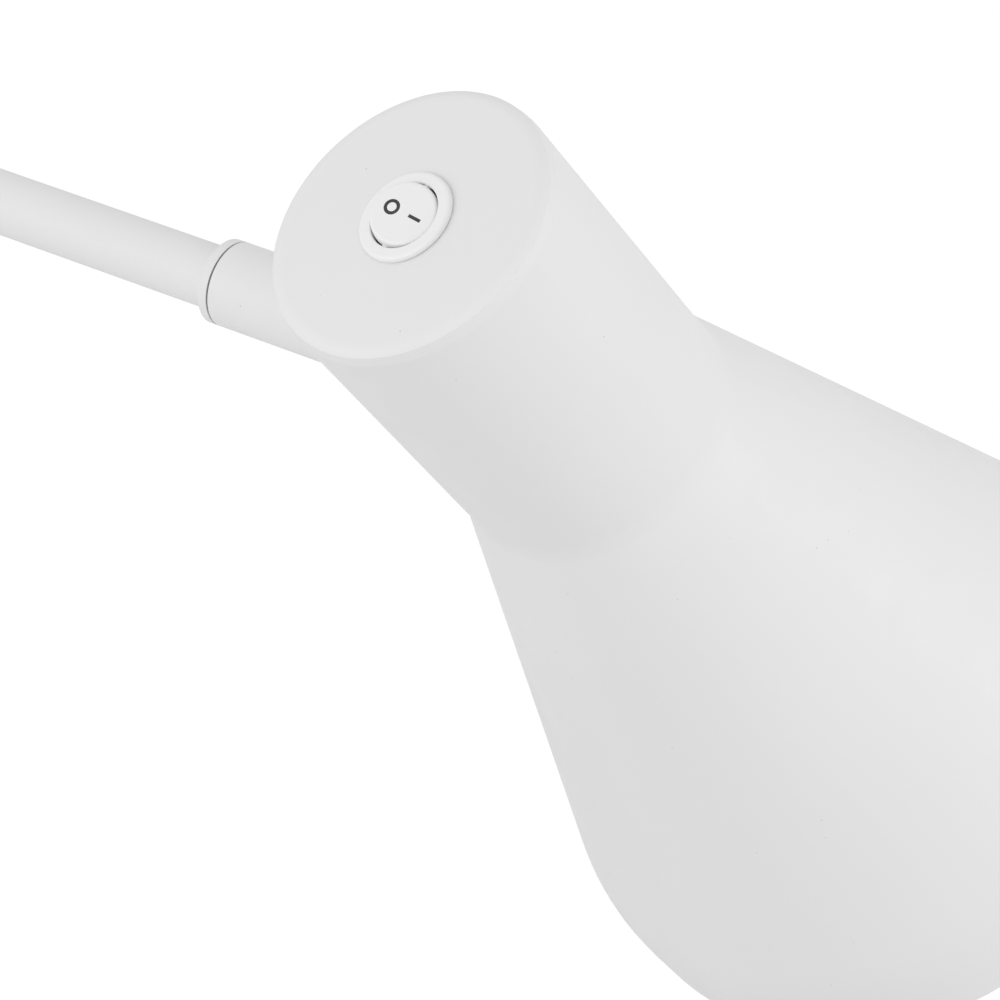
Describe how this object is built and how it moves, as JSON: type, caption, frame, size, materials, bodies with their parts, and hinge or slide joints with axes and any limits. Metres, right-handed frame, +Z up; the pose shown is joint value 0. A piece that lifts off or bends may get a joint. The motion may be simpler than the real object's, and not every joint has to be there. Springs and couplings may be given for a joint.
{
  "type": "reading lamp",
  "caption": "Wall reading lamp: a long flared metal shade with a round rocker switch on its end cap, turning on a collar at the end of a folding swing arm.",
  "frame": {"origin": "middle of the wall bracket's back face, on the wall", "axes": "+Y into the wall, +Z up, +X to the right for someone facing the wall; the lamp reaches towards -Y"},
  "size_m": [0.2561, 0.5698, 0.2796],
  "materials": {
    "white_powder_coat": "matte powder coat",
    "zinc_plated_steel": "bright zinc",
    "brass": "satin",
    "black_rubber": "matte",
    "terminal_plastic": "matte",
    "white_flex": "matte",
    "dark_fibre": "matte",
    "white_holder_plastic": "matte",
    "bulb_cap_metal": "satin",
    "bulb_white_plastic": "satin",
    "bulb_opal": "opal",
    "white_switch_plastic": "satin",
    "black_print": "printed"
  },
  "bodies": {
    "wall_mount": {"wall_bracket": "zinc_plated_steel", "canopy": "white_powder_coat", "canopy_screws": "white_powder_coat", "earth_screw": "brass", "cable_grommet": "black_rubber", "terminal_block": "terminal_plastic", "stem_rosette": "white_powder_coat", "stem_tube": "white_powder_coat", "stem_backing_plate": "zinc_plated_steel", "stem_nut": "brass", "stem_nipple": "zinc_plated_steel", "wall_lead": "white_flex", "wall_lower_barrel": "white_powder_coat", "wall_bottom_cap": "white_powder_coat", "wall_nipple": "zinc_plated_steel", "wall_nuts": "brass", "wall_spring_washer": "zinc_plated_steel", "wall_friction_washer": "dark_fibre", "wall_stop_pin": "zinc_plated_steel"},
    "inner_arm": {"wall_upper_barrel": "white_powder_coat", "wall_top_cap": "white_powder_coat", "inner_tube": "white_powder_coat", "inner_lead": "white_flex", "elbow_lower_barrel": "white_powder_coat", "elbow_bottom_cap": "white_powder_coat", "elbow_nipple": "zinc_plated_steel", "elbow_nuts": "brass", "elbow_spring_washer": "zinc_plated_steel", "elbow_friction_washer": "dark_fibre", "elbow_stop_pin": "zinc_plated_steel"},
    "outer_arm": {"elbow_upper_barrel": "white_powder_coat", "elbow_top_cap": "white_powder_coat", "outer_tube": "white_powder_coat", "outer_lead": "white_flex", "swivel_sleeve": "white_powder_coat", "swivel_seal": "dark_fibre"},
    "head": {"swivel_stub": "white_powder_coat", "roll_stop_screw": "zinc_plated_steel", "stub_saddle": "zinc_plated_steel", "stub_nut": "zinc_plated_steel", "shade": "white_powder_coat", "end_cap": "white_powder_coat", "holder_plate": "zinc_plated_steel", "holder_nipple": "zinc_plated_steel", "holder_nut": "brass", "holder_cap": "white_holder_plastic", "holder_body": "white_holder_plastic", "holder_insert": "white_holder_plastic", "holder_contacts": "brass", "bulb_cap": "bulb_cap_metal", "bulb_base": "bulb_white_plastic", "bulb_diffuser": "bulb_opal", "switch_body": "white_switch_plastic", "switch_terminals": "brass", "switch_contact": "brass", "supply_lead": "white_flex", "switch_lead": "white_flex"},
    "rocker": {"rocker": "white_switch_plastic", "rocker_marks": "black_print"}
  },
  "joints": [
    {"name": "wall_swing", "type": "hinge", "parent": "wall_mount", "child": "inner_arm", "pos_m": [0, -0.062, 0], "axis": [0, 0, 1], "range_deg": [-125, 35]},
    {"name": "elbow_swing", "type": "hinge", "parent": "inner_arm", "child": "outer_arm", "pos_m": [0.15556, -0.21756, 0.025], "axis": [0, 0, 1], "range_deg": [-25, 205]},
    {"name": "head_swivel", "type": "hinge", "parent": "outer_arm", "child": "head", "pos_m": [-0.03182, -0.40495, 0.05], "axis": [-0.7071, -0.7071, 0], "range_deg": [-195, 125]},
    {"name": "rocker_tip", "type": "hinge", "parent": "head", "child": "rocker", "pos_m": [-0.05364, -0.36361, 0.11431], "axis": [-0.4844, 0.6493, -0.5864], "range_deg": [0, 30]}
  ]
}
